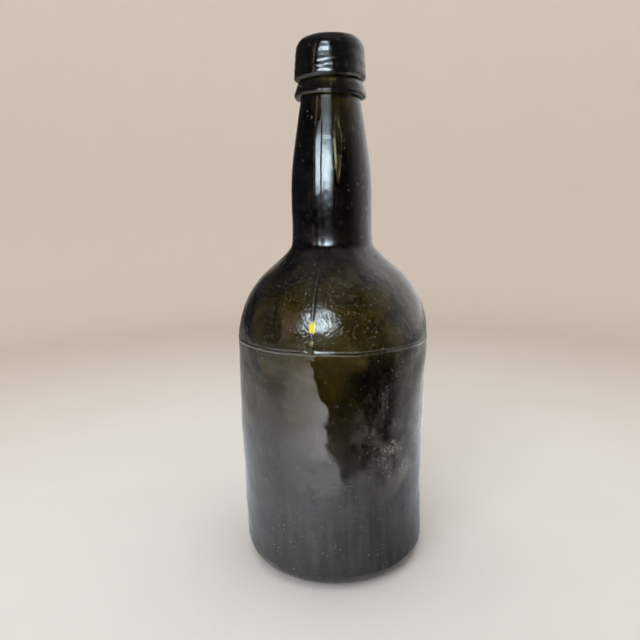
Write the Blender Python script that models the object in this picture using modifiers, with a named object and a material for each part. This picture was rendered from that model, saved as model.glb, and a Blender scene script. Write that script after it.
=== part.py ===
"""Antique dark olive glass bottle, blown in a three-piece mould, with an applied two-part lip.

Metres, +Z up. The origin is on the bottle's axis, in the plane that its base rests on.
The two shoulder moulds met in the plane X = 0, so the upright seams run at -Y and +Y.
The three objects are the three gathers of glass that the bottle was made from.
"""
import math

import bmesh
import bpy

# Names and finish
PARTS_COLLECTION = "antique_glass_bottle"
GUIDES_COLLECTION = "guides"
BODY_GLASS = (0.030, 0.028, 0.012)
COLLAR_GLASS = (0.018, 0.017, 0.010)

# Overall
HEIGHT = 0.240
SEGMENTS = 48                # facets round every turned piece
MERGE_DISTANCE = 0.00001
GAP = 0.0003                 # clearance between neighbouring gathers

# Base: a rounded heel, a flat ring to stand on, and a deep push-up with a small nipple
BASE_RADIUS = 0.0433         # body radius at the top of the heel
HEEL_RADIUS = 0.0090
BEARING_INNER = 0.0308       # inner edge of the flat ring
PUSH_UP_HEIGHT = 0.0200
NIPPLE_RADIUS = 0.0035
NIPPLE_DROP = 0.0016
FLOOR_THICKNESS = 0.0060

# Body: a slight taper up to the seam where the body mould met the shoulder moulds
BODY_TOP_RADIUS = 0.0446
BODY_WALL = 0.0031           # at the seam
HEEL_WALL = 0.0062
SEAM_HEIGHT = 0.1080
SEAM_RADIUS = 0.0453
SEAM_HALF_WIDTH = 0.0008

# Shoulder: part of an ellipse in section, hollowed where it turns up into the neck
DOME_RISE = 0.0425           # the ellipse's half-axis along Z
DOME_END = math.radians(48)
TURN_HEIGHT = 0.1482
TURN_RADIUS = 0.0204

# Neck: nearly straight, then swollen, then narrowing to the lip
NECK_ROOT_HEIGHT = 0.1535
NECK_ROOT_RADIUS = 0.0186
NECK_SWELL_HEIGHT = 0.1730
NECK_SWELL_RADIUS = 0.0186
NECK_UPPER_HEIGHT = 0.1895
NECK_UPPER_RADIUS = 0.0175
COLLAR_HEIGHT = 0.2140       # the neck is a plain cone from here up
COLLAR_RADIUS = 0.0136
NECK_END_HEIGHT = 0.2355
NECK_END_RADIUS = 0.0128
BORE_RADIUS = 0.0095         # at the mouth
NECK_WALLS = ((0.1380, 0.0036), (NECK_ROOT_HEIGHT, 0.0064), (NECK_SWELL_HEIGHT, 0.0078),
              (NECK_UPPER_HEIGHT, 0.0073), (COLLAR_HEIGHT, 0.0039))    # heights and walls there

# String ring: the lower collar, flared down to a sharp edge
RING_BOTTOM = 0.2150
RING_EDGE_HEIGHT = 0.2161
RING_EDGE_RADIUS = 0.0163
RING_UNDERSIDE_RADIUS = 0.0157
RING_WAIST_HEIGHT = 0.2190
RING_WAIST_RADIUS = 0.0154
RING_TOP = 0.2214
RING_TOP_RADIUS = 0.0145

# Lip band: the upper collar, widest at its lower edge, rounded over at the mouth
BAND_EDGE_HEIGHT = 0.2228
BAND_EDGE_RADIUS = 0.0162
BAND_EDGE_BEVEL = 0.0004
BAND_UPPER_RADIUS = 0.0154
CROWN_WIDTH = 0.0046         # how far the rounding comes in from the band's side
CROWN_RISE = 0.0058
MOUTH_ROUND = 0.0006

# Upright mould seams
RIB_RADIUS = 0.0011
RIB_STANDS_PROUD = 0.0004
RIB_END_HEIGHT = 0.2060


def arc(centre, half_axes, start, end, steps):
    """Points along an elliptical arc, with angles in radians from +X towards +Z."""
    angles = [start + (end - start) * step / steps for step in range(steps + 1)]
    return [(centre[0] + half_axes[0] * math.cos(angle),
             centre[1] + half_axes[1] * math.sin(angle)) for angle in angles]


def smooth(stations, steps):
    """Points along a Catmull-Rom curve through the stations, with steps to each stretch."""
    padded = [stations[0], *stations, stations[-1]]
    curve = []
    for four in zip(padded, padded[1:], padded[2:], padded[3:]):
        for step in range(steps):
            t = step / steps
            weights = (-t + 2 * t**2 - t**3, 2 - 5 * t**2 + 3 * t**3,
                       t + 4 * t**2 - 3 * t**3, t**3 - t**2)
            curve.append(tuple(0.5 * sum(weight * station[axis]
                                         for weight, station in zip(weights, four))
                               for axis in (0, 1)))
    return curve + [stations[-1]]


def inset(line, wall_at):
    """The line moved in from a skin that rises along it, by the wall at each height."""
    moved = []
    for before, here, after in zip([line[0], *line], line, [*line[1:], line[-1]]):
        run, rise = after[0] - before[0], after[1] - before[1]
        scale = wall_at(here[1]) / math.hypot(run, rise)
        moved.append((here[0] - rise * scale, here[1] + run * scale))
    return moved


def upper_skin():
    """The outer skin from the horizontal seam's height up to the neck's sheared end."""
    dome = arc((0, SEAM_HEIGHT), (BODY_TOP_RADIUS, DOME_RISE), 0, DOME_END, 8)
    stations = [dome[-1], (TURN_RADIUS, TURN_HEIGHT), (NECK_ROOT_RADIUS, NECK_ROOT_HEIGHT),
                (NECK_SWELL_RADIUS, NECK_SWELL_HEIGHT), (NECK_UPPER_RADIUS, NECK_UPPER_HEIGHT),
                (COLLAR_RADIUS, COLLAR_HEIGHT)]
    return dome[:-1] + smooth(stations, 3) + [(NECK_END_RADIUS, NECK_END_HEIGHT)]


def upper_wall(height):
    """Wall thickness above the seam: thick round the neck, thin again at the sheared end."""
    stations = ((SEAM_HEIGHT, BODY_WALL), *NECK_WALLS, (NECK_END_HEIGHT, NECK_END_RADIUS - BORE_RADIUS))
    for (low, wall), (high, next_wall) in zip(stations, stations[1:]):
        if height <= high:
            return wall + (next_wall - wall) * (height - low) / (high - low)
    return next_wall


def collar_seat(height):
    """Inner radius of a collar at a height, clear of the neck's cone."""
    slope = (NECK_END_RADIUS - COLLAR_RADIUS) / (NECK_END_HEIGHT - COLLAR_HEIGHT)
    return COLLAR_RADIUS + slope * (height - COLLAR_HEIGHT) + GAP


def inner_section():
    """The inside of the bottle, from the middle of its floor up to the neck's end."""
    foot = BASE_RADIUS - HEEL_WALL
    round_in = HEEL_RADIUS - HEEL_WALL
    crest = PUSH_UP_HEIGHT + FLOOR_THICKNESS
    floor = smooth([(0, crest), (0.30 * foot, 0.92 * crest), (0.60 * foot, 0.55 * crest),
                    (foot - round_in, FLOOR_THICKNESS)], 2)
    corner = arc((foot - round_in, FLOOR_THICKNESS + round_in), (round_in, round_in),
                 -0.5 * math.pi, 0, 3)
    return floor[:-1] + corner + inset(upper_skin(), upper_wall)


def outer_section():
    """The outside of the bottle, from the neck's end down and under to the nipple."""
    above_seam = [point for point in upper_skin() if point[1] > SEAM_HEIGHT + SEAM_HALF_WIDTH]
    seam = [(BODY_TOP_RADIUS, SEAM_HEIGHT + SEAM_HALF_WIDTH),
            (SEAM_RADIUS, SEAM_HEIGHT + 0.4 * SEAM_HALF_WIDTH),
            (SEAM_RADIUS, SEAM_HEIGHT - 0.4 * SEAM_HALF_WIDTH),
            (BODY_TOP_RADIUS, SEAM_HEIGHT - SEAM_HALF_WIDTH)]
    heel = arc((BASE_RADIUS - HEEL_RADIUS, HEEL_RADIUS), (HEEL_RADIUS, HEEL_RADIUS),
               0, -0.5 * math.pi, 6)
    push_up = smooth([(BEARING_INNER, 0), (0.92 * BEARING_INNER, 0.16 * PUSH_UP_HEIGHT),
                      (0.60 * BEARING_INNER, 0.68 * PUSH_UP_HEIGHT),
                      (0.32 * BEARING_INNER, 0.94 * PUSH_UP_HEIGHT),
                      (NIPPLE_RADIUS, PUSH_UP_HEIGHT)], 2)
    nipple = arc((0, PUSH_UP_HEIGHT), (NIPPLE_RADIUS, -NIPPLE_DROP), 0, 0.5 * math.pi, 3)
    nipple[-1] = (0, PUSH_UP_HEIGHT - NIPPLE_DROP)
    return above_seam[::-1] + seam + heel + push_up[:-1] + nipple


def ring_section():
    """The string ring's section, from the foot of its inner side."""
    flare = smooth([(RING_TOP_RADIUS, RING_TOP), (RING_WAIST_RADIUS, RING_WAIST_HEIGHT),
                    (RING_EDGE_RADIUS, RING_EDGE_HEIGHT)], 3)
    return [(collar_seat(RING_BOTTOM), RING_BOTTOM), (collar_seat(RING_TOP), RING_TOP),
            *flare, (RING_UNDERSIDE_RADIUS, RING_BOTTOM)]


def band_section():
    """The lip band's section, from the foot of its inner side."""
    bottom = RING_TOP + GAP
    ledge = NECK_END_HEIGHT + GAP
    mouth = arc((BORE_RADIUS + MOUTH_ROUND, HEIGHT - MOUTH_ROUND), (MOUTH_ROUND, MOUTH_ROUND),
                math.pi, 0.5 * math.pi, 3)
    crown = arc((BAND_UPPER_RADIUS - CROWN_WIDTH, HEIGHT - CROWN_RISE), (CROWN_WIDTH, CROWN_RISE),
                0.5 * math.pi, 0, 8)
    return [(collar_seat(bottom), bottom), (collar_seat(ledge), ledge), (BORE_RADIUS, ledge),
            *mouth, *crown,
            (BAND_EDGE_RADIUS, BAND_EDGE_HEIGHT + BAND_EDGE_BEVEL),
            (BAND_EDGE_RADIUS - BAND_EDGE_BEVEL, BAND_EDGE_HEIGHT),
            (RING_TOP_RADIUS, bottom)]


def glass(name, colour):
    """A glossy dark glass finish."""
    material = bpy.data.materials.new(name)
    material.use_nodes = True
    shader = material.node_tree.nodes["Principled BSDF"]
    shader.inputs["Base Color"].default_value = (*colour, 1)
    shader.inputs["Roughness"].default_value = 0.12
    shader.inputs["Metallic"].default_value = 0
    return material


def add_object(name, data, collection):
    """Link a new object that shows the data."""
    item = bpy.data.objects.new(name, data)
    collection.objects.link(item)
    return item


def turned(name, section, closed, colour, collection):
    """A piece turned about Z from a section that runs down its outer side."""
    links = [(index, index + 1) for index in range(len(section) - 1)]
    if closed:
        links.append((len(section) - 1, 0))
    mesh = bpy.data.meshes.new(name)
    mesh.from_pydata([(x, 0, z) for x, z in section], links, [])
    mesh.materials.append(glass(name + "_glass", colour))
    item = add_object(name, mesh, collection)
    screw = item.modifiers.new("Turn", "SCREW")
    screw.steps = SEGMENTS
    screw.render_steps = SEGMENTS
    screw.use_merge_vertices = True
    screw.merge_threshold = MERGE_DISTANCE
    screw.use_smooth_shade = True
    return item


def seam_rib(name, side, collection):
    """A bar along the shoulder and neck, sunk until only a low rib stands proud."""
    skin = [point for point in upper_skin() if point[1] < RIB_END_HEIGHT]
    curve = bpy.data.curves.new(name, "CURVE")
    curve.dimensions = "3D"
    curve.bevel_depth = RIB_RADIUS
    curve.bevel_resolution = 1
    curve.use_fill_caps = True
    line = curve.splines.new("POLY")
    line.points.add(len(skin) - 1)
    for index, (x, z) in enumerate(skin):
        at_end = index == len(skin) - 1
        sunk = 1.3 * RIB_RADIUS if at_end else RIB_RADIUS - RIB_STANDS_PROUD
        line.points[index].co = (0, side * (x - sunk), z, 1)
    guide = add_object(name, curve, collection)
    evaluated = guide.evaluated_get(bpy.context.evaluated_depsgraph_get())
    mesh = bpy.data.meshes.new_from_object(evaluated)
    bpy.data.objects.remove(guide)
    work = bmesh.new()
    work.from_mesh(mesh)
    bmesh.ops.remove_doubles(work, verts=work.verts, dist=MERGE_DISTANCE)
    work.to_mesh(mesh)
    work.free()
    rib = add_object(name, mesh, collection)
    rib.hide_render = True
    rib.display_type = "WIRE"
    return rib


def join(item, addition):
    """Unite an addition with an item."""
    union = item.modifiers.new("Join " + addition.name, "BOOLEAN")
    union.operation = "UNION"
    union.solver = "EXACT"
    union.object = addition


def main():
    for item in list(bpy.data.objects):
        bpy.data.objects.remove(item)
    parts = bpy.data.collections.new(PARTS_COLLECTION)
    guides = bpy.data.collections.new(GUIDES_COLLECTION)
    for collection in (parts, guides):
        bpy.context.scene.collection.children.link(collection)

    bottle = turned("blown_bottle", inner_section() + outer_section(), False, BODY_GLASS, parts)
    join(bottle, seam_rib("front_seam_rib", -1, guides))
    join(bottle, seam_rib("rear_seam_rib", 1, guides))
    turned("string_ring", ring_section(), True, COLLAR_GLASS, parts)
    turned("lip_band", band_section(), True, COLLAR_GLASS, parts)


main()
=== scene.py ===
import math

import bpy
import numpy as np
from mathutils import Matrix, Vector


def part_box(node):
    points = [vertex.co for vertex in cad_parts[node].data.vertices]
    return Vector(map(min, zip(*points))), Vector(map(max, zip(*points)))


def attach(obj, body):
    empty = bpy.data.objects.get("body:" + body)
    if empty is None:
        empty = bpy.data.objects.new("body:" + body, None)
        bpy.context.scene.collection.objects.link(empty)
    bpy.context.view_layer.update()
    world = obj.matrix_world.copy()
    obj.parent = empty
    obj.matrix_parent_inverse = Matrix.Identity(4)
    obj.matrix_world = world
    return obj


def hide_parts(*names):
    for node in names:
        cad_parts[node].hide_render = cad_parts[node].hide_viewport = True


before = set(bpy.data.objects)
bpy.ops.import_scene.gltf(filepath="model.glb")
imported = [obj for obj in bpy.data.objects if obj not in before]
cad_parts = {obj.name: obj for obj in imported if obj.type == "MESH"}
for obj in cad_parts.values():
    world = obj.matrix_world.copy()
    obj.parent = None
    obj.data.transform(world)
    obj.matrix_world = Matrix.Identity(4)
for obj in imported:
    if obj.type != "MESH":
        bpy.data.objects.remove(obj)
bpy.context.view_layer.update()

# Camera: a hand-held close view, a little to the right of the front seam
CAMERA_AZIMUTH = math.radians(11.3)
CAMERA_DISTANCE = 0.2737
CAMERA_HEIGHT = 0.1633
CAMERA_PITCH = math.radians(10.14)
CAMERA_YAW = math.radians(-1.26)
CAMERA_ROLL = math.radians(-0.77)
CAMERA_LENS = 32.63

TWO_PI = 2 * math.pi
MM = 0.001
FRONT = -0.5 * math.pi           # direction of the front seam, an angle about Z
TOWARDS_CAMERA = FRONT + CAMERA_AZIMUTH

SAME_PLACE = 2e-6                # closer than this counts as touching

# The bottle's skin
SEAM_HEIGHT = 0.1080
RIDGE_PROUD = 0.42 * MM          # how far the level seam stands off the wall
RIB_HALF_WIDTH = 0.85 * MM       # of the level seam as well as the upright ones
FILLET = 2.2 * MM                # where the seams meet
SEAM_DRIFT = math.radians(-1.5)  # how far the mould seams turn between shoulder and neck
WIDEST = 0.04528                 # nothing on the body stands out further than this
PUSH_UP_RADIUS = 0.0335          # under the base, inside the ring it stands on
STRAIGHT_INSIDE = 0.012          # nearer the axis than this, the seams' columns run straight in
HALF_TURN_COLUMNS = 96           # even columns between one upright seam and the next
COLLAR_COLUMNS = 208
COLLAR_CLEARANCE = 0.06 * MM     # between a collar and the neck
BUBBLE_DEPTH = 1.35 * MM         # from the neck's skin to a bubble's middle

# Two air bubbles caught in the front wall of the neck
BUBBLES = (
    dict(angle=TOWARDS_CAMERA + math.radians(10), height=0.1925, length=31 * MM, width=5.2 * MM,
         thickness=1.5 * MM, lean_out=math.radians(1)),
    dict(angle=TOWARDS_CAMERA - math.radians(15), height=0.2050, length=9 * MM, width=0.7 * MM,
         thickness=0.4 * MM, lean_out=math.radians(5)),
)


# ---------------------------------------------------------------- sections from the CAD solids

def half_section(node):
    """A turned CAD node's outline in the half-plane y = 0, x >= 0, as points in order."""
    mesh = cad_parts[node].data
    key = {}
    for vertex in mesh.vertices:
        x, y, z = vertex.co
        if abs(y) < SAME_PLACE and x > -SAME_PLACE:
            key[vertex.index] = (round(max(x, 0.0), 5), round(z, 5))
    links = {}
    for edge in mesh.edges:
        a, b = edge.vertices
        if a in key and b in key and key[a] != key[b]:
            links.setdefault(key[a], set()).add(key[b])
            links.setdefault(key[b], set()).add(key[a])
    ends = sorted(point for point in links if point[0] == 0.0)
    start = max(ends, key=lambda p: p[1]) if ends else min(links)
    path = [start]
    while True:
        onward = [point for point in links[path[-1]] if point not in path]
        if not onward:
            break
        path.append(min(onward, key=lambda p: math.dist(p, path[-1])))
    return np.array(path)


def along(path):
    """Distance along a path at each of its points."""
    return np.concatenate([[0], np.cumsum(np.hypot(*np.diff(path, axis=0).T))])


def at(path, distances):
    """Points on a path at the given distances along it."""
    here = along(path)
    return np.stack([np.interp(distances, here, path[:, k]) for k in (0, 1)], 1)


def softened(path, sigma, closed=False):
    """The path in fine even steps, with its corners rounded over about sigma metres."""
    if closed:
        path = np.vstack([path, path[:1]])
    count = int(along(path)[-1] / (0.1 * MM))
    fine = at(path, np.linspace(0, along(path)[-1], count + 1))
    step = along(path)[-1] / count
    reach = max(2, int(3 * sigma / step))
    kernel = np.exp(-0.5 * (np.arange(-reach, reach + 1) * step / sigma) ** 2)
    kernel /= kernel.sum()
    if closed:
        padded = np.vstack([fine[-reach - 1:-1], fine, fine[1:reach + 1]])
    else:
        padded = np.vstack([2 * fine[0] - fine[reach:0:-1], fine, 2 * fine[-1] - fine[-2:-reach - 2:-1]])
    return np.stack([np.convolve(padded[:, k], kernel, "valid") for k in (0, 1)], 1)


def spaced(path, spacing):
    """The path cut into steps whose length at each point is spacing(points)."""
    rate = 1 / spacing(path)
    count = np.concatenate([[0], np.cumsum(0.5 * (rate[1:] + rate[:-1]) * np.diff(along(path)))])
    wanted = np.linspace(0, count[-1], int(math.ceil(count[-1])) + 1)
    return at(path, np.interp(wanted, count, along(path)))


def normals_of(path, closed=False):
    """Unit normals of a section, to the outside of glass whose outer side runs downwards."""
    if closed:
        run = np.roll(path, -1, 0) - np.roll(path, 1, 0)
    else:
        run = np.gradient(path, axis=0)
    normal = np.stack([-run[:, 1], run[:, 0]], 1)
    return normal / np.linalg.norm(normal, axis=1)[:, None]


# ---------------------------------------------------------------- surface relief

def smoothstep(low, high, value):
    """0 below low, 1 above high, and an even curve between."""
    t = np.clip((value - low) / (high - low), 0, 1)
    return t * t * (3 - 2 * t)


def hump(value, half_width):
    """A raised cosine, 1 at 0 and 0 beyond half_width."""
    return 0.5 * (1 + np.cos(math.pi * np.clip(np.abs(value) / half_width, 0, 1)))


def waves(points, wavelength, seed, count=14, stretch=(1, 1, 1)):
    """Smooth uneven relief of about unit size with that wavelength, at points in metres."""
    rng = np.random.default_rng(seed)
    total = np.zeros(points.shape[:-1])
    for _ in range(count):
        direction = rng.normal(size=3)
        direction /= np.linalg.norm(direction)
        turn = TWO_PI * rng.uniform(0.7, 1.4) / wavelength
        total += np.cos(points @ (direction * turn / np.array(stretch)) + rng.uniform(0, TWO_PI))
    return total * math.sqrt(2 / count)


def seam_direction(height):
    """The angle about Z at which the front seam stands at that height."""
    return FRONT + SEAM_DRIFT * smoothstep(SEAM_HEIGHT + 2 * MM, 0.152, height)


def wrapped(angle):
    """The angle brought to between minus and plus half a turn."""
    return (angle + math.pi) % TWO_PI - math.pi


def off_seam(angle, height):
    """Unsigned turn away from the front seam."""
    return np.abs(wrapped(angle - seam_direction(height)))


def off_rib(turn, radius):
    """Distance round the wall from the nearer of the two upright seams."""
    return np.minimum(turn, math.pi - turn) * radius


def above_ridge(height, points):
    """Height over the level seam, which wavers a little."""
    return height - SEAM_HEIGHT - 0.12 * MM * waves(points, 22 * MM, 31)


def aside(turn, near, far):
    """0 at the front of the level seam and 1 at its sides, between two turns in degrees."""
    return smoothstep(math.radians(near), math.radians(far), np.abs(turn - math.radians(6)))


def mould_seams(angle, radius, height, points):
    """How far the mould seams stand proud: one round the shoulder's foot, two up the sides."""
    turn = off_seam(angle, height)
    below = np.minimum(height - SEAM_HEIGHT, 0)
    from_rib = np.hypot(off_rib(turn, radius), below * 1.4)
    from_ridge = np.abs(above_ridge(height, points))
    overlap = np.maximum(FILLET - np.abs(from_rib - from_ridge), 0) / FILLET
    nearest = np.minimum(from_rib, from_ridge) - overlap ** 2 * FILLET / 4
    rib = np.interp(height, [0.108, 0.113, 0.130, 0.150, 0.175, 0.200, 0.208],
                    [0.50, 0.55, 0.42, 0.22, 0.13, 0.08, 0.0]) * MM
    ridge = RIDGE_PROUD * (1 + 0.25 * waves(points, 16 * MM, 32))
    ridge = ridge * (1 - 0.55 * aside(turn, 25, 60))
    share = from_ridge / (from_ridge + from_rib + 0.05 * MM)
    proud = rib * share + ridge * (1 - share)
    return proud * hump(np.maximum(nearest, 0), RIB_HALF_WIDTH)


def seam_marks(angle, radius, height, points):
    """Painted shade on the mould seams' flanks and along the level seam, and the seams' crests worn pale
    with a painted highlight.
    """
    turn = off_seam(angle, height)
    from_rib = off_rib(turn, radius)
    on_rib = smoothstep(0.1082, 0.1100, height) * (1 - smoothstep(0.146, 0.158, height))
    uneven = np.clip(0.75 + 0.25 * waves(points, 9 * MM, 33), 0, 1)
    fading = np.interp(height, [0.112, 0.124, 0.136, 0.15], [1, 0.8, 0.25, 0.12])
    # painted shade on the upright seam's flanks
    painted_shade = hump(from_rib - 0.95 * MM, 0.62 * MM) * on_rib * uneven
    # pale wear on the upright seam's crest with a painted highlight, fading upwards
    crest_wear_and_highlight = hump(from_rib, 0.36 * MM) * on_rib * uneven * fading
    off_ridge = above_ridge(height, points)
    clear = smoothstep(0.8 * MM, 2.2 * MM, from_rib)
    patchy = 0.35 + 0.65 * np.clip(0.6 + 0.6 * waves(points, 14 * MM, 34), 0, 1)
    # painted shade along the level seam
    painted_shade = np.maximum(painted_shade, 0.9 * hump(off_ridge, 0.45 * MM) * clear * patchy)
    # pale wear and a painted highlight along the level seam's edges, strongest at the front
    upper_edge = hump(off_ridge - 0.75 * MM, 0.40 * MM)
    lower_edge = 0.7 * hump(off_ridge + 0.75 * MM, 0.35 * MM)
    edge = np.maximum(upper_edge, lower_edge)
    facing = 0.18 + 0.82 * (1 - aside(turn, 30, 58))
    crest_wear_and_highlight = np.maximum(crest_wear_and_highlight, 0.8 * edge * clear * patchy * facing)
    return painted_shade, crest_wear_and_highlight


def painted_glint_mark(angle, radius, height):
    """Painted yellow glint on both flanks of the front seam, light painted into the colour: a long
    patch, and a small one below it.
    """
    sideways = off_seam(angle, height) * radius
    upper = hump(sideways - 0.62 * MM, 0.80 * MM) * hump(height - 0.1186, 3.2 * MM)
    lower = 0.5 * hump(sideways - 0.5 * MM, 0.5 * MM) * hump(height - 0.1125, 1.6 * MM)
    return smoothstep(0, 0.35, upper) + lower


def neck_bulge(angle, radius, height):
    """The front of the neck is fuller just left of its seam."""
    sideways = wrapped(angle - seam_direction(height)) * radius
    fade = smoothstep(0.160, 0.172, height) * (1 - smoothstep(0.196, 0.208, height))
    return 0.27 * MM * hump(sideways + 3.5 * MM, 3.1 * MM) * fade


def lean(height):
    """How far each level of the bottle stands to the camera's right of the axis."""
    return np.interp(height, [0, 0.015, 0.03, 0.06, 0.085, 0.108, 0.125, 0.14, 0.155, 0.24],
                     np.array([0.1, -0.3, -0.8, -0.8, -0.5, -0.1, 0.4, 0.6, 0.15, 0]) * MM)


def outer_relief(angle, radius, height, points):
    """How far the outer skin stands off the CAD outline."""
    body = smoothstep(3 * MM, 9 * MM, height) * (1 - smoothstep(0.205, 0.213, height))
    under = (radius < PUSH_UP_RADIUS) & (height < 0.035)
    calm = 1 - 0.65 * smoothstep(0.145, 0.158, height)
    broad = calm * (0.085 * MM * waves(points, 19 * MM, 1) + 0.022 * MM * waves(points, 6 * MM, 2))
    fine = 0.010 * MM * waves(points, 2.6 * MM, 3) * smoothstep(0.100, 0.112, height)
    streak = 0.012 * MM * waves(points, 4 * MM, 4, stretch=(1, 1, 12)) * (height < SEAM_HEIGHT)
    relief = (broad + fine + streak) * body
    on_side = radius > PUSH_UP_RADIUS + 1 * MM
    sunk = -0.35 * MM * np.exp(-((height - 0.035) / 0.022) ** 2) * on_side
    seams = mould_seams(angle, radius, height, points) * ((height > 0.10) & (height < 0.214))
    side = relief + seams + neck_bulge(angle, radius, height) + sunk
    return np.where(under, broad * smoothstep(3 * MM, 9 * MM, height), side)


def inner_relief(points, height):
    """How far the inner skin stands off the CAD outline, which wavers more than the outside."""
    fade = 1 - smoothstep(0.205, 0.225, height)
    return (0.42 * MM * waves(points, 18 * MM, 5) + 0.15 * MM * waves(points, 6.5 * MM, 6)) * fade


# ---------------------------------------------------------------- pieces

def column_plan(dense, uniform):
    """Shares of a half turn and sideways steps for the columns between one seam and the next."""
    last = dense[-1]
    share = [0.0] * len(dense) + [(k + 1) / (uniform + 1) for k in range(uniform)]
    side = list(dense) + [last] * uniform
    share += [1.0] * (len(dense) - 1)
    side += [2 * last - s for s in dense[:0:-1]]
    return np.array(share), np.array(side), last


def turned_grid(rows, columns, closed_rows, first):
    """Quads of a turned skin whose rows run along the section and columns round it."""
    i, j = np.meshgrid(np.arange(rows if closed_rows else rows - 1), np.arange(columns), indexing="ij")
    i2, j2 = (i + 1) % rows, (j + 1) % columns
    quads = np.stack([i * columns + j, i2 * columns + j, i2 * columns + j2, i * columns + j2], -1)
    return quads.reshape(-1, 4) + first


def mesh_object(name, vertices, faces, attributes=None):
    """A smooth-shaded mesh in the scene, with one number per point for each attribute."""
    mesh = bpy.data.meshes.new(name)
    mesh.from_pydata([tuple(v) for v in vertices], [], [tuple(f) for f in faces])
    mesh.update()
    mesh.shade_smooth()
    for key, values in (attributes or {}).items():
        layer = mesh.attributes.new(key, "FLOAT", "POINT")
        layer.data.foreach_set("value", np.asarray(values, np.float32))
    item = bpy.data.objects.new(name, mesh)
    bpy.context.scene.collection.objects.link(item)
    return item


def round_points(section, normal, angle, push):
    """Section points turned to the angles, moved along their normals by push."""
    radius = section[:, 0, None] + normal[:, 0, None] * push
    height = section[:, 1, None] + normal[:, 1, None] * push
    return np.stack([radius * np.cos(angle), radius * np.sin(angle), height + 0 * angle], -1)


def facing_in(corner, faces):
    """The faces of a closed drawn-out skin, each turned to look at its own middle line."""
    centre = corner.mean(0)
    turned = []
    for face in faces:
        first, second, third = (corner[index] for index in face[:3])
        normal = np.cross(second - first, third - first)
        middle = corner[list(face)].mean(0)
        axis = np.array([centre[0], centre[1], middle[2]])
        looks_in = normal @ (middle - axis) < 0
        turned.append(tuple(face) if looks_in else tuple(reversed(face)))
    return turned


def bubble(reach_at, angle, height, length, width, thickness, lean_out):
    """An air bubble drawn out along the neck, full near its upper end and pointed below."""
    rows, columns = 26, 20
    t = np.linspace(0, 1, rows)[1:-1]
    swell = np.sin(math.pi * t ** 0.72) ** 0.85
    v = np.linspace(0, TWO_PI, columns, endpoint=False)
    z = height + length * (0.5 - t)
    middle = reach_at(z)
    across = 0.5 * width * swell[:, None] * np.cos(v)
    through = 0.5 * thickness * swell[:, None] * np.sin(v)
    theta = angle + across / middle[:, None] + lean_out * (0.5 - t)[:, None]
    radius = middle[:, None] + through
    points = np.stack([radius * np.cos(theta), radius * np.sin(theta), z[:, None] + 0 * theta], -1)
    points = points.reshape(-1, 3)
    tips = []
    for end in (0.5, -0.5):
        level = height + length * end
        reach = float(reach_at(np.array([level]))[0])
        turn = angle + lean_out * end
        tips.append((reach * math.cos(turn), reach * math.sin(turn), level))
    top_tip, low_tip = len(points), len(points) + 1
    last_row = (len(t) - 1) * columns
    faces = [tuple(quad) for quad in turned_grid(len(t), columns, False, 0)]
    faces += [(k, (k + 1) % columns, top_tip) for k in range(columns)]
    faces += [(last_row + (k + 1) % columns, last_row + k, low_tip) for k in range(columns)]
    corner = np.vstack([points, tips])
    return corner, facing_in(corner, faces)


def outer_spacing(path):
    """Step along the outer outline: finest at the level seam, coarse under the base."""
    radius, height = path.T
    near = np.abs(height - SEAM_HEIGHT)
    step = np.where(height > SEAM_HEIGHT, 0.95, 1.5) * MM
    step = np.where(height < 0.010, 1.0 * MM, step)
    step = np.where((height < 0.030) & (radius < PUSH_UP_RADIUS), 2.2 * MM, step)
    return np.where(near < 12 * MM, np.minimum(step, (0.26 + 0.05 * near / MM) * MM), step)


def bottle_sections():
    """The bottle's inner and outer outlines, rounded over and cut into steps."""
    path = half_section("blown_bottle")
    split = int(np.argmax(path[:, 1] > path[:, 1].max() - SAME_PLACE)) + 1
    inner, outer = path[:split], path[split:]
    # the CAD's sharp ridge is left out, and the relief makes a rounded one in its place
    on_ridge = (np.abs(outer[:, 1] - SEAM_HEIGHT) < 0.7 * MM) & (outer[:, 0] > 0.0448)
    inner = spaced(softened(inner, 2.0 * MM), lambda p: np.full(len(p), 2.6 * MM))
    outer = spaced(softened(outer[~on_ridge], 1.1 * MM), outer_spacing)
    outer[:, 1] -= max(0.0, outer[:, 1].min())
    return inner, outer


def bottle_angles(section):
    """Angles of the columns at each step of a section, closest together at the upright seams."""
    dense = [0, 0.2 * MM, 0.4 * MM, 0.6 * MM, 0.8 * MM, 1.0 * MM, 1.3 * MM]
    share, side, last = column_plan(dense, HALF_TURN_COLUMNS)
    reach = np.maximum(section[:, 0], STRAIGHT_INSIDE)[:, None]
    start = seam_direction(section[:, 1])[:, None]
    half = share * (math.pi - 2 * last / reach) + side / reach
    return np.hstack([start + half, start + math.pi + half])


def leaned(skin):
    """The skin with each level set over by its lean, and nothing past the CAD's outline."""
    right = np.array([math.cos(CAMERA_AZIMUTH), math.sin(CAMERA_AZIMUTH)])
    skin[:, :2] += lean(skin[:, 2])[:, None] * right
    wide = np.hypot(skin[:, 0], skin[:, 1])
    skin[:, :2] *= np.minimum(1, WIDEST / np.maximum(wide, 1e-9))[:, None]
    skin[:, 2] = np.maximum(skin[:, 2], 0)
    return skin


def skin_faces(rows, columns):
    """Faces of the bottle's skin: a grid closed by a fan at each end, inside and under the base."""
    crown, nipple = rows * columns, rows * columns + 1
    last_row = (rows - 1) * columns
    faces = [tuple(quad) for quad in turned_grid(rows, columns, False, 0)]
    faces += [(crown, k, (k + 1) % columns) for k in range(columns)]
    faces += [(last_row + k, nipple, last_row + (k + 1) % columns) for k in range(columns)]
    return faces


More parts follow.
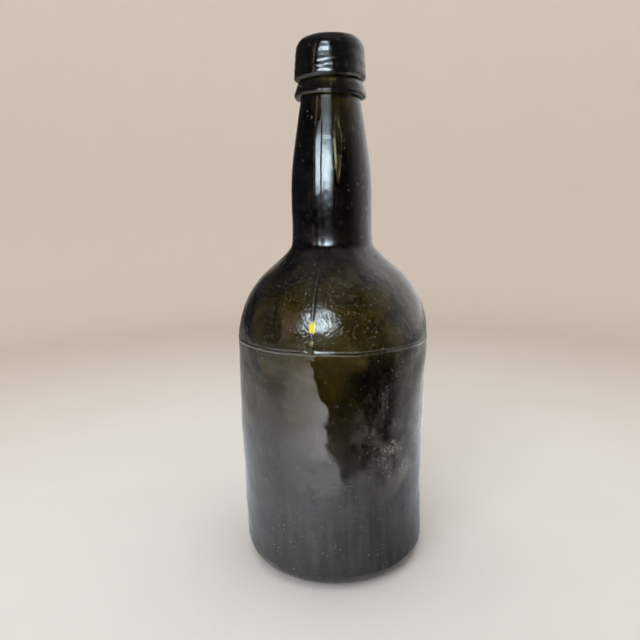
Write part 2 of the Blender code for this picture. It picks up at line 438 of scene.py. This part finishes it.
def build_bottle():
    """The blown bottle as one closed skin, with its bubbles; also gives its outer outline."""
    inner, outer = bottle_sections()
    inner_rows, outer_rows = inner[1:], outer[:-1]
    angle_in, angle_out = bottle_angles(inner_rows), bottle_angles(outer_rows)
    start_in = round_points(inner_rows, np.zeros_like(inner_rows), angle_in, 0)
    start_out = round_points(outer_rows, np.zeros_like(outer_rows), angle_out, 0)
    radius = outer_rows[:, 0, None] + 0 * angle_out
    height = outer_rows[:, 1, None] + 0 * angle_out
    push_in = inner_relief(start_in, inner_rows[:, 1, None])
    push_out = outer_relief(angle_out, radius, height, start_out)
    points_in = round_points(inner_rows, normals_of(inner)[1:], angle_in, push_in).reshape(-1, 3)
    points_out = round_points(outer_rows, normals_of(outer)[:-1], angle_out, push_out).reshape(-1, 3)
    poles = [[0, 0, inner[0, 1]], [0, 0, outer[-1, 1]]]
    skin = leaned(np.vstack([points_in, points_out, poles]))
    faces = skin_faces(len(inner_rows) + len(outer_rows), angle_in.shape[1])

    # the seams' painted shade, their crests' pale wear and painted highlight, and the painted glint,
    # kept on the skin's points
    painted_shade, crest_wear_and_highlight = seam_marks(angle_out, radius, height, start_out)
    marks = {"outside": np.ones(len(points_out)), "painted_glint": painted_glint_mark(angle_out, radius, height),
             "painted_shade": painted_shade, "crest_wear_and_highlight": crest_wear_and_highlight}
    marks = {key: np.concatenate([np.zeros(len(points_in)), mark.ravel(), [0, 0]])
             for key, mark in marks.items()}
    marks["outside"][-1] = 1

    neck = outer_rows[outer_rows[:, 1] > 0.15][::-1]

    def bubble_reach(z):
        return np.interp(z, neck[:, 1], neck[:, 0]) - BUBBLE_DEPTH

    for plan in BUBBLES:
        corner, more = bubble(bubble_reach, **plan)
        faces += [tuple(index + len(skin) for index in face) for face in more]
        skin = np.vstack([skin, corner])
    marks = {key: np.pad(mark, (0, len(skin) - len(mark))) for key, mark in marks.items()}
    return mesh_object("bottle_glass", skin, faces, marks), outer


def build_collar(name, node, neck, sigma, relief, wander):
    """A collar turned from its CAD section, closed up against the neck."""
    section = half_section(node)
    # the side against the neck follows the neck's own skin
    across = np.interp(section[:, 1], neck[::-1, 1], neck[::-1, 0])
    on_neck = np.abs(section[:, 0] - across) < 0.5 * MM
    on_neck &= section[:, 1] < neck[0, 1] + 0.6 * MM
    section[on_neck, 0] = across[on_neck] + COLLAR_CLEARANCE
    turn = np.roll(section, -1, 0)
    if np.sum(section[:, 0] * turn[:, 1] - turn[:, 0] * section[:, 1]) > 0:
        section = section[::-1]
    section = softened(section, sigma, closed=True)[:-1]
    closed = np.vstack([section, section[:1]])
    section = spaced(closed, lambda p: np.full(len(p), 0.24 * MM))[:-1]
    angle = np.linspace(0, TWO_PI, COLLAR_COLUMNS, endpoint=False)[None, :] + 0 * section[:, :1]
    start = round_points(section, np.zeros_like(section), angle, 0)
    clear = np.interp(section[:, 1], neck[::-1, 1], neck[::-1, 0])
    free = smoothstep(0.3 * MM, 1.0 * MM, section[:, 0] - clear)[:, None]
    free = np.where(section[:, 1, None] > neck[0, 1] + 0.4 * MM, 1, free)
    push = relief(start) * free
    points = round_points(section, normals_of(section, closed=True), angle, push)
    points[..., 2] += wander(start) * free
    low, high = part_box(node)
    flat = points.reshape(-1, 3)
    flat[:, 2] = np.clip(flat[:, 2], low.z, high.z)
    wide = np.hypot(flat[:, 0], flat[:, 1])
    flat[:, :2] *= np.minimum(1, high.x / wide)[:, None]
    faces = turned_grid(len(section), angle.shape[1], True, 0)
    return mesh_object(name, flat, faces, {"outside": np.ones(len(flat)), "painted_glint": np.zeros(len(flat))})


def ring_relief(points):
    """Unevenness of the string ring."""
    return 0.05 * MM * waves(points, 7 * MM, 41) + 0.02 * MM * waves(points, 3 * MM, 42)


def ring_wander(points):
    """How far the string ring's flared edge rises and falls."""
    return 0.14 * MM * waves(points, 15 * MM, 43, stretch=(1, 1, 8)) * (points[..., 2] < 0.2180)


def band_relief(points):
    """Tooling marks and unevenness of the lip band."""
    tooling = 0.035 * MM * waves(points, 2.0 * MM, 44, stretch=(8, 8, 1))
    return tooling + 0.05 * MM * waves(points, 9 * MM, 45) + 0.012 * MM * waves(points, 1.9 * MM, 46)


def band_wander(points):
    """How far the lip band rises and falls, most at its lower edge."""
    low_edge = 1 - smoothstep(0.2225, 0.2250, points[..., 2])
    return 0.10 * MM * waves(points, 13 * MM, 47, stretch=(1, 1, 8)) * (low_edge + 0.6)


bottle, bottle_outline = build_bottle()
string_ring = build_collar("string_ring_glass", "string_ring", bottle_outline, 0.16 * MM,
                           ring_relief, ring_wander)
lip_band = build_collar("lip_band_glass", "lip_band", bottle_outline, 0.20 * MM,
                        band_relief, band_wander)


# ---------------------------------------------------------------- materials

GLASS_DENSITY = 900.0
COLLAR_DENSITY = 2000.0
GLASS_TAKEN = (430.0, 480.0, 900.0)     # absorption per metre at GLASS_DENSITY, red to blue
CLEAN_SKIN = (0.96, 0.95, 0.92, 1)
# colour of dust, and of the painted highlight and sparkle mixed in with it
DUST_AND_HIGHLIGHT_SKIN = (0.74, 0.72, 0.69, 1)
# colour of the painted shade on the seams and in the dark patches
PAINTED_SHADE_COLOUR = (0.05, 0.045, 0.02, 1)
# colour of the painted yellow glint on the front seam
PAINTED_GLINT_COLOUR = (0.86, 0.78, 0.01, 1)
SCUFFED_SPOT = (0.0390, -0.0210, 0.0680)
# where the painted sparkle on the shoulder is heaviest
PAINTED_SPARKLE_SPOT = (0.004, -0.040, 0.1180)


class Nodes:
    """Small helper that adds shader nodes and links them."""

    def __init__(self, material):
        material.use_nodes = True
        self.tree = material.node_tree
        self.tree.nodes.clear()

    def add(self, kind, inputs=None, **settings):
        node = self.tree.nodes.new(kind)
        for key, value in settings.items():
            setattr(node, key, value)
        for key, value in (inputs or {}).items():
            socket = node.inputs[key]
            if isinstance(value, bpy.types.NodeSocket):
                self.tree.links.new(value, socket)
            else:
                socket.default_value = value
        return node

    def math(self, operation, a, b=0.0, clamp=False):
        return self.add("ShaderNodeMath", {0: a, 1: b}, operation=operation, use_clamp=clamp).outputs[0]

    def product(self, *values):
        total = values[0]
        for value in values[1:]:
            total = self.math("MULTIPLY", total, value)
        return total

    def total(self, *values):
        total = values[0]
        for value in values[1:]:
            total = self.math("ADD", total, value)
        return total

    def ramp(self, value, low, high, out_low=0.0, out_high=1.0):
        node = self.add("ShaderNodeMapRange", {"Value": value, "From Min": low, "From Max": high,
                                               "To Min": out_low, "To Max": out_high},
                        interpolation_type="SMOOTHSTEP")
        return node.outputs[0]

    def noise(self, where, scale, detail=2.0, rough=0.5):
        node = self.add("ShaderNodeTexNoise", {"Vector": where, "Scale": scale, "Detail": detail,
                                               "Roughness": rough})
        return node.outputs["Fac"] if "Fac" in node.outputs else node.outputs[0]

    def blend(self, factor, first, second):
        """A mix of two colours."""
        node = self.add("ShaderNodeMix", {"Factor": factor, "A": first, "B": second}, data_type="RGBA")
        return [socket for socket in node.outputs if socket.type == "RGBA"][0]

    def stretched(self, where, scale):
        return self.add("ShaderNodeMapping", {"Vector": where, "Scale": scale}).outputs[0]

    def distance_to(self, where, point):
        node = self.add("ShaderNodeVectorMath", {0: where, 1: point}, operation="DISTANCE")
        return node.outputs["Value"]

    def attribute(self, name, output="Fac"):
        return self.add("ShaderNodeAttribute", attribute_name=name).outputs[output]

    def finish(self, surface, volume=None):
        output = self.add("ShaderNodeOutputMaterial")
        self.tree.links.new(surface.outputs[0], output.inputs["Surface"])
        if volume:
            self.tree.links.new(volume.outputs[0], output.inputs["Volume"])


def spots(n, where, scale, size, chosen):
    """Sparse round specks: 1 at their middles."""
    cell = n.add("ShaderNodeTexVoronoi", {"Vector": where, "Scale": scale, "Randomness": 1.0})
    pick = n.add("ShaderNodeSeparateColor", {"Color": cell.outputs["Color"]})
    kept = n.math("GREATER_THAN", pick.outputs[0], chosen)
    return n.product(n.ramp(cell.outputs["Distance"], size, size * 0.4), kept)


def bloom(n, where, height, cloud):
    """A thin veil over the body, heaviest low down, in upright streaks."""
    streak = n.noise(n.stretched(where, (1, 1, 0.06)), 420, 3)
    low = n.ramp(height, 0.092, 0.040)
    veil = n.product(low, n.ramp(streak, 0.30, 0.72, 0.018, 0.042))
    grain = n.ramp(n.noise(where, 750, 3, 0.7), 0.55, 0.74, 0.0, 0.035)
    return n.total(veil, n.ramp(cloud, 0.40, 0.75, 0.0, 0.008), grain)


def scuff(n, where):
    """A scuffed, cloudy patch low on the right of the body."""
    patch = n.ramp(n.distance_to(where, SCUFFED_SPOT), 0.036, 0.008)
    grain = n.ramp(n.noise(where, 900, 4, 0.7), 0.36, 0.74, 0.08, 1.0)
    mottle = n.ramp(n.noise(where, 110, 4, 0.6), 0.36, 0.66)
    return n.product(patch, grain, mottle, 0.40)


def wear_and_painted_sparkle(n, where, shoulder):
    """Fine wear on the shoulder, with painted sparkle of light heaviest at its front, where the
    highlight falls.
    """
    grain = n.ramp(n.noise(where, 800, 4, 0.7), 0.56, 0.74, 0, 0.30)
    lit_side = n.ramp(n.distance_to(where, PAINTED_SPARKLE_SPOT), 0.034, 0.006, 0.12, 1.0)
    return n.product(grain, shoulder, lit_side)


def painted_shade_patches(n, where, across, height):
    """Painted shade in patches: at the shoulder's top, in strips on its sides, and on the right of the
    body.
    """
    top = n.product(n.ramp(height, 0.139, 0.147), n.ramp(height, 0.1525, 0.1505))
    top_patches = n.ramp(n.noise(n.stretched(where, (1, 1, 1.8)), 75, 3, 0.6), 0.50, 0.56)
    side = n.product(n.ramp(height, 0.112, 0.122), n.ramp(height, 0.148, 0.138))
    strips = n.ramp(n.noise(where, 70, 3, 0.6), 0.60, 0.66)
    shoulder = n.total(n.product(top, top_patches), n.product(side, n.product(strips, 0.7)))
    on_body = (n.ramp(height, 0.104, 0.098), n.ramp(height, 0.050, 0.070))
    right = n.product(n.ramp(across, 0.008, 0.020), *on_body)
    # mottled painted shade on the right of the body
    shade_mottle = n.ramp(n.noise(n.stretched(where, (1, 1, 0.6)), 65, 5, 0.65), 0.44, 0.52)
    return n.math("MAXIMUM", shoulder, n.product(right, shade_mottle, 0.85))


def body_bump(n, where, height, shoulder, crackle):
    """Hammered and crackled on the shoulder, drawn upright on the body."""
    drawn = n.noise(n.stretched(where, (1, 1, 0.12)), 300, 2)
    return n.total(n.product(crackle, n.ramp(shoulder, 0, 1, 0.00002, 0.00022)),
                   n.product(drawn, n.ramp(height, 0.112, 0.104, 0.0, 0.00004)))


def collar_bump(n, where, crackle):
    """Fine tooling lines round the collars."""
    tool = n.noise(n.stretched(where, (0.22, 0.22, 1)), 520, 2)
    return n.total(n.product(tool, 0.00005), n.product(crackle, 0.00004))


def old_glass(name, on_body, density):
    """Dark olive glass with a worn, slightly bloomed outer skin, and painted shade, highlight and glint
    in its colour.
    """
    material = bpy.data.materials.new(name)
    n = Nodes(material)
    where = n.add("ShaderNodeTexCoord").outputs["Object"]
    parts = n.add("ShaderNodeSeparateXYZ", {"Vector": where})
    height = parts.outputs["Z"]
    painted_glint, painted_shade, crest_wear_and_highlight = (n.attribute(mark) for mark in ("painted_glint", "painted_shade", "crest_wear_and_highlight"))
    cloud = n.noise(where, 60, 3)
    crackle = n.noise(where, 640, 2, 0.55)
    shoulder = n.product(n.ramp(height, 0.104, 0.112), n.ramp(height, 0.150, 0.135))
    specks = n.total(spots(n, where, 560, 0.14, 0.62), spots(n, where, 120, 0.045, 0.62))
    specks = n.product(specks, 0.45 if on_body else 0.30)

    if on_body:
        dust_and_highlight = n.total(bloom(n, where, height, cloud), scuff(n, where), specks)
        # adds wear with painted sparkle on the shoulder, and pale wear with a painted highlight on the
        # seams' crests
        dust_and_highlight = n.total(dust_and_highlight, wear_and_painted_sparkle(n, where, shoulder), n.product(crest_wear_and_highlight, 0.22))
        bump = body_bump(n, where, height, shoulder, crackle)
        # painted shade patches joined to the painted shade on the seams
        painted_shade = n.math("MAXIMUM", painted_shade, painted_shade_patches(n, where, parts.outputs["X"], height))
        neck_foot = n.product(n.ramp(height, 0.1490, 0.1530), n.ramp(height, 0.1620, 0.1530))
        coarser = (n.product(shoulder, 0.10), n.product(neck_foot, 0.15))
    else:
        coarser = ()
        dust_and_highlight = n.total(0.004, specks)
        bump = collar_bump(n, where, crackle)
    dust_and_highlight = n.math("MULTIPLY", dust_and_highlight, n.attribute("outside"), clamp=True)
    rough = n.total(n.ramp(dust_and_highlight, 0.01, 0.4, 0.0, 0.35), n.ramp(cloud, 0.3, 0.8, 0.035, 0.075), *coarser)
    bump = n.math("SUBTRACT", bump, n.product(specks, 0.00004))
    normal = n.add("ShaderNodeBump", {"Height": bump, "Strength": 1.0, "Distance": 1.0}).outputs[0]

    # dust, with painted highlight and sparkle, paler and less clear
    colour = n.blend(n.ramp(dust_and_highlight, 0.0, 0.12), CLEAN_SKIN, DUST_AND_HIGHLIGHT_SKIN)
    # painted shade: the seams' flanks and the dark patches
    colour = n.blend(painted_shade, colour, PAINTED_SHADE_COLOUR)
    # painted yellow glint on the front seam's flanks, with less light let through there
    colour = n.blend(painted_glint, colour, PAINTED_GLINT_COLOUR)
    clear = n.math("SUBTRACT", 1.0, n.total(dust_and_highlight, painted_glint), clamp=True)
    surface = n.add("ShaderNodeBsdfPrincipled", {"Base Color": colour, "Roughness": rough, "IOR": 1.52,
                                                 "Transmission Weight": clear, "Normal": normal})
    taken = tuple(1 - value / GLASS_DENSITY for value in GLASS_TAKEN)
    volume = n.add("ShaderNodeVolumeAbsorption", {"Color": (*taken, 1), "Density": density})
    n.finish(surface, volume)
    return material


body_glass = old_glass("old_olive_glass", True, GLASS_DENSITY)
collar_glass = old_glass("applied_collar_glass", False, COLLAR_DENSITY)
bottle.data.materials.append(body_glass)
string_ring.data.materials.append(collar_glass)
lip_band.data.materials.append(collar_glass)

for piece, node, finish in ((bottle, "blown_bottle", "body_glass"),
                            (string_ring, "string_ring", "collar_glass"),
                            (lip_band, "lip_band", "collar_glass")):
    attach(piece, "root")
    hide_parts(node)


# ---------------------------------------------------------------- floor, backdrop and lights

DOME_RADIUS = 1.5
DOME_CENTRE = 0.19
WINDOW_RADIUS = 0.35
WINDOW_TINT = np.array([0.74, 0.90, 1.0])
GLOW_HEIGHT = 0.0006             # of the table's glow, just above the floor
FLOOR_END = 0.62
COVE_BEND = 0.20
COVE_TOP = 1.3


def seen_by(item, camera=False, diffuse=False, glossy=False, transmission=False, shadow=False):
    """Say which rays see a stage object."""
    item.visible_camera = camera
    item.visible_diffuse = diffuse
    item.visible_glossy = glossy
    item.visible_transmission = transmission
    item.visible_shadow = shadow
    item.visible_volume_scatter = False


def painted(name, vertices, faces, colours):
    """A stage mesh that glows in the colours painted on its points."""
    item = mesh_object(name, vertices, faces)
    layer = item.data.color_attributes.new("glow", "FLOAT_COLOR", "POINT")
    rgba = np.concatenate([colours, np.ones((len(colours), 1))], 1)
    layer.data.foreach_set("color", rgba.astype(np.float32).ravel())
    material = bpy.data.materials.new(name)
    n = Nodes(material)
    n.finish(n.add("ShaderNodeEmission", {"Color": n.attribute("glow", "Color"), "Strength": 1.0}))
    material.cycles.emission_sampling = "NONE"
    item.data.materials.append(material)
    return item


def mixed(first, second, share):
    """Rows of one colour turned into another by a share for each row."""
    return first * (1 - share[:, None]) + np.asarray(second) * share[:, None]


def window_share(turn):
    """How much of the window's light comes from an angle right of the camera, in degrees."""
    fade = np.interp(turn, [-30, -14, -8, -3, 2, 6], [0.75, 1, 1, 0.6, 0.15, 0])
    return smoothstep(-39, -33, turn) * fade


def room_colours(turn, rise):
    """What the glass sees of the room at an angle right of the camera and a rise, in degrees."""
    away = np.abs(turn)
    count = len(turn)
    colour = np.tile([0.045, 0.043, 0.045], (count, 1))
    # the pale wall behind, dim to the left and brighter on the right
    colour = mixed(colour, (0.60, 0.53, 0.46), smoothstep(146, 166, away))
    right = np.interp(turn, [40, 60, 78, 100, 130, 155, 175], [0, 0.10, 0.45, 1.0, 1.5, 1.1, 0.62])
    warm = right[:, None] * np.array([1.0, 0.965, 0.93])
    colour = np.where((turn > 40)[:, None], warm + 0.03, colour)
    # ceiling
    colour = mixed(colour, (0.30, 0.28, 0.26), smoothstep(38, 75, rise))
    # below the window, in front on the left
    up = np.interp(rise, [-12, -4, 1.5, 10, 20], [0.25, 0.45, 0.40, 0.3, 0])
    colour = colour + (window_share(turn) * up)[:, None] * WINDOW_TINT
    # a narrow warm gleam from the left
    gleam = np.exp(-((turn + 53) / 2.6) ** 2) * smoothstep(-4, 6, rise) * (1 - smoothstep(22, 34, rise))
    return colour + gleam[:, None] * np.array([3.0, 2.1, 1.9])


def build_dome():
    """A dome that only the glass sees."""
    turns = np.radians(np.arange(-180, 180, 1.0))
    rises = np.radians(np.arange(-60, 90.5, 1.0))
    rise, turn = np.meshgrid(rises, turns, indexing="ij")
    angle = TOWARDS_CAMERA + turn
    level = DOME_RADIUS * np.cos(rise)
    points = np.stack([level * np.cos(angle), level * np.sin(angle),
                       DOME_CENTRE + DOME_RADIUS * np.sin(rise)], -1).reshape(-1, 3)
    colours = room_colours(np.degrees(turn).ravel(), np.degrees(rise).ravel())
    dome = painted("light_dome", points, turned_grid(len(rises), len(turns), False, 0), colours)
    seen_by(dome, glossy=True, transmission=True)


def build_window():
    """A bright window close by on the camera's left, that only the glass sees."""
    turns = np.radians(np.arange(-42, 9, 1.0))
    heights = np.arange(0.150, 0.475, 0.004)
    height, turn = np.meshgrid(heights, turns, indexing="ij")
    angle = TOWARDS_CAMERA + turn
    points = np.stack([WINDOW_RADIUS * np.cos(angle), WINDOW_RADIUS * np.sin(angle), height], -1)
    up = np.interp(height.ravel(), [0.150, 0.166, 0.175, 0.183, 0.193, 0.208, 0.228, 0.300, 0.330,
                                    0.350, 0.370, 0.420, 0.465],
                   [0, 0.6, 1.2, 2.4, 6.5, 13, 22, 22, 16, 7, 4, 2, 0])
    share = window_share(np.degrees(turn).ravel())
    rows, columns = height.shape
    quads = [(i * columns + j, i * columns + j + 1, (i + 1) * columns + j + 1, (i + 1) * columns + j)
             for i in range(rows - 1) for j in range(columns - 1)]
    colours = (share * up)[:, None] * WINDOW_TINT
    window = painted("window_glow", points.reshape(-1, 3), quads, colours)
    seen_by(window, glossy=True, transmission=True)


def build_table_glow():
    """What the glass's skin reflects of the table: bright ahead and to the left, dark to the right."""
    reach = np.concatenate([np.linspace(0.0465, 0.3, 54), np.linspace(0.31, 1.45, 60)])
    turns = np.radians(np.arange(-180, 180, 1.5))
    rho, turn = np.meshgrid(reach, turns, indexing="ij")
    angle = TOWARDS_CAMERA + turn
    points = np.stack([rho * np.cos(angle), rho * np.sin(angle), np.full(rho.shape, GLOW_HEIGHT)], -1)
    degrees, rho = np.degrees(turn).ravel(), rho.ravel()
    side, ahead = rho * np.sin(np.radians(degrees)), rho * np.cos(np.radians(degrees))
    level = np.interp(degrees, [-180, -150, -120, -90, -60, -30, -12, 20, 60, 90, 130, 160, 180],
                      [0.55, 0.6, 0.9, 1.25, 1.5, 2.9, 4.2, 3.9, 1.2, 0.9, 1.3, 1.0, 0.55])
    level = level * np.interp(rho, [0.25, 0.40, 0.70, 1.2], [1, 0.62, 0.40, 0.30])
    near = np.interp(degrees, [-180, -90, -20, 15, 40, 90, 180], [0.7, 1.1, 1.5, 0.7, 0.45, 0.8, 0.7])
    share = smoothstep(0.10, 0.20, rho)
    level = near * (1 - share) + level * share
    level = level * np.interp(rho, [0.046, 0.10], [0.40, 1.0])
    edge = side + 0.62 * (ahead - 0.234) + 0.038
    dark = smoothstep(-0.006, 0.010, edge) * (1 - smoothstep(66, 88, degrees))
    dark = dark * smoothstep(0.105, 0.165, rho) * (degrees > -60)
    level = level * (1 - dark) + 0.05 * dark
    colours = level[:, None] * mixed(np.tile([0.95, 0.995, 1.06], (len(rho), 1)), (1.0, 0.95, 0.86),
                                     smoothstep(0.11, 0.34, rho))
    quads = turned_grid(len(reach), len(turns), False, 0)[:, ::-1]
    glow = painted("table_glow", points.reshape(-1, 3), quads, colours)
    seen_by(glow, glossy=True)


def pale_cloth():
    """A matt, faintly mottled finish that warms and darkens away from the bottle; the darkening is
    painted shade for the light falling off.
    """
    material = bpy.data.materials.new("pale_cloth")
    n = Nodes(material)
    where = n.add("ShaderNodeTexCoord").outputs["Object"]
    parts = n.add("ShaderNodeSeparateXYZ", {"Vector": where})
    flat = n.add("ShaderNodeCombineXYZ", {"X": parts.outputs["X"], "Y": parts.outputs["Y"]})
    reach = n.add("ShaderNodeVectorMath", {0: flat.outputs[0]}, operation="LENGTH").outputs["Value"]
    # paler near the bottle, darker far off: painted shade for the light's fall-off
    tone = n.blend(n.ramp(reach, 0.12, 0.60), (0.90, 0.905, 0.90, 1), (0.76, 0.69, 0.63, 1))
    mottled = n.ramp(n.noise(where, 18, 3), 0.3, 0.7, 0.0, 0.05)
    tone = n.blend(mottled, tone, (0.60, 0.57, 0.55, 1))
    n.finish(n.add("ShaderNodeBsdfPrincipled", {"Base Color": tone, "Roughness": 0.9,
                                                "Specular IOR Level": 0.1}))
    return material


def round_sheet(name, radii, heights, material):
    """A surface of revolution about Z that faces inwards and up."""
    columns = 128
    angle = np.linspace(0, TWO_PI, columns, endpoint=False)
    points = [(r * math.cos(a), r * math.sin(a), h) for r, h in zip(radii, heights) for a in angle]
    faces = [tuple(q) for q in turned_grid(len(radii), columns, False, 0)[:, ::-1]]
    item = mesh_object(name, points, faces)
    item.data.materials.append(material)
    return item


def build_cove():
    """A pale floor that curves up into a pale wall all round."""
    material = pale_cloth()
    floor = round_sheet("floor", np.linspace(0.0001, FLOOR_END, 40), np.zeros(40), material)
    seen_by(floor, camera=True, diffuse=True, glossy=True, transmission=True, shadow=True)
    turns = np.linspace(0, 0.5 * math.pi, 15)
    radii = [*(FLOOR_END + COVE_BEND * np.sin(turns)), FLOOR_END + COVE_BEND]
    heights = [*(COVE_BEND * (1 - np.cos(turns))), COVE_TOP]
    wall = round_sheet("backdrop", radii, heights, material)
    seen_by(wall, camera=True, diffuse=True)


def soft_light(name, turn, rise, distance, size, power, colour, target=(0, 0, 0.10)):
    """A rectangular light aimed at the bottle, that reflections don't show."""
    data = bpy.data.lights.new(name, "AREA")
    data.shape = "RECTANGLE"
    data.size, data.size_y = size
    data.energy = power
    data.color = colour
    angle, up = TOWARDS_CAMERA + math.radians(turn), math.radians(rise)
    lamp = bpy.data.objects.new(name, data)
    bpy.context.scene.collection.objects.link(lamp)
    back = Vector((math.cos(up) * math.cos(angle), math.cos(up) * math.sin(angle), math.sin(up)))
    lamp.location = Vector(target) + back * distance
    lamp.rotation_mode = "QUATERNION"
    lamp.rotation_quaternion = back.to_track_quat("Z", "Y")
    lamp.visible_glossy = False
    lamp.visible_transmission = False
    lamp.visible_camera = False


build_dome()
build_window()
build_table_glow()
build_cove()
soft_light("window_light", -22, 24, 1.20, (0.85, 1.0), 8.2, (0.93, 0.98, 1.0))
soft_light("ceiling_light", 0, 89, 0.95, (1.1, 1.1), 4.3, (0.99, 0.985, 0.97))

world = bpy.data.worlds.new("dim_room")
world.use_nodes = True
world.node_tree.nodes["Background"].inputs["Color"].default_value = (0.30, 0.29, 0.28, 1)
world.node_tree.nodes["Background"].inputs["Strength"].default_value = 0.5
bpy.context.scene.world = world
bpy.context.scene.view_settings.view_transform = "Standard"


# ---------------------------------------------------------------- camera

def place_camera():
    """The photo's camera, turned about the bottle's axis to where it stood."""
    data = bpy.data.cameras.new("camera")
    data.lens = CAMERA_LENS
    data.sensor_width = 36
    data.clip_start = 0.01
    item = bpy.data.objects.new("camera", data)
    bpy.context.scene.collection.objects.link(item)
    ahead = Vector((math.sin(CAMERA_YAW) * math.cos(CAMERA_PITCH),
                    math.cos(CAMERA_YAW) * math.cos(CAMERA_PITCH), -math.sin(CAMERA_PITCH)))
    right = Vector((math.cos(CAMERA_YAW), -math.sin(CAMERA_YAW), 0))
    up = right.cross(ahead)
    turned_right = math.cos(CAMERA_ROLL) * right + math.sin(CAMERA_ROLL) * up
    turned_up = -math.sin(CAMERA_ROLL) * right + math.cos(CAMERA_ROLL) * up
    pose = Matrix((turned_right, turned_up, -ahead)).transposed().to_4x4()
    pose.translation = Vector((0, -CAMERA_DISTANCE, CAMERA_HEIGHT))
    item.matrix_world = Matrix.Rotation(CAMERA_AZIMUTH, 4, "Z") @ pose
    bpy.context.scene.camera = item


place_camera()
